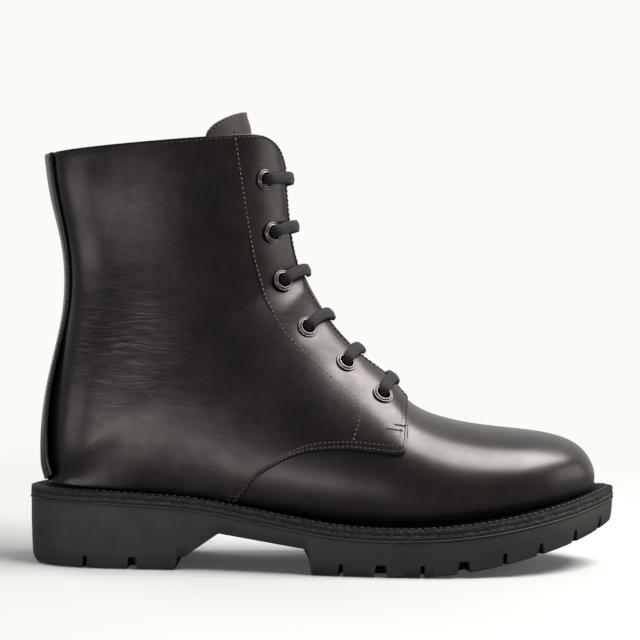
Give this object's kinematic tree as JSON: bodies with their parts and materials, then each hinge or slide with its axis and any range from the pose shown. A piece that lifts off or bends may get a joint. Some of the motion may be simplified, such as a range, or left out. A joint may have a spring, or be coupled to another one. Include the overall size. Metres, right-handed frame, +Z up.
{
  "type": "laced work boot",
  "caption": "Ankle-high laced derby boot in black leather with a welted, lugged rubber sole and an inward-folding tongue.",
  "frame": {"origin": "centre of the heel's tread on the ground", "axes": "+X towards the toe, +Y towards the inner side of a right foot, +Z up"},
  "size_m": [0.308, 0.1085, 0.2346],
  "materials": {
    "upper_leather": "smooth polished calf, near-black brown",
    "lining_leather": "matt natural lining leather",
    "welt_leather": "dyed welt leather, rough cut edge",
    "rubber_sole": "matt moulded rubber",
    "fibre_board": "pressed fibre board",
    "cork": "granulated cork",
    "steel": "bare spring steel",
    "eyelet_metal": "gunmetal plated, rolled rim",
    "lace_cotton": "woven waxed cotton",
    "thread": "bonded polyester thread",
    "aglet_plastic": "clear-coated tip"
  },
  "bodies": {
    "boot": {"outsole": "rubber_sole", "midsole": "welt_leather", "welt": "welt_leather", "welt_stitch": "thread", "insole_rib": "fibre_board", "cork_filler": "cork", "shank": "steel", "insole_board": "fibre_board", "footbed": "lining_leather", "heel_counter": "fibre_board", "toe_puff": "fibre_board", "vamp": "upper_leather", "vamp_lining": "lining_leather", "backstay": "upper_leather", "quarter_lateral": "upper_leather", "quarter_medial": "upper_leather", "quarter_lining_lateral": "lining_leather", "quarter_lining_medial": "lining_leather", "facing_stay_lateral": "lining_leather", "facing_stay_medial": "lining_leather", "lace": "lace_cotton", "aglet_upper": "aglet_plastic", "aglet_lower": "aglet_plastic", "eyelet_lateral_1": "eyelet_metal", "eyelet_lateral_2": "eyelet_metal", "eyelet_lateral_3": "eyelet_metal", "eyelet_lateral_4": "eyelet_metal", "eyelet_lateral_5": "eyelet_metal", "eyelet_lateral_6": "eyelet_metal", "eyelet_medial_1": "eyelet_metal", "eyelet_medial_2": "eyelet_metal", "eyelet_medial_3": "eyelet_metal", "eyelet_medial_4": "eyelet_metal", "eyelet_medial_5": "eyelet_metal", "eyelet_medial_6": "eyelet_metal"},
    "tongue": {"tongue": "upper_leather"}
  },
  "joints": [
    {"name": "tongue_fold", "type": "hinge", "parent": "boot", "child": "tongue", "pos_m": [0.159, 0, 0.072], "axis": [0, -1, 0], "range_deg": [0, 12], "stiffness_Nm_per_rad": 0.3}
  ]
}
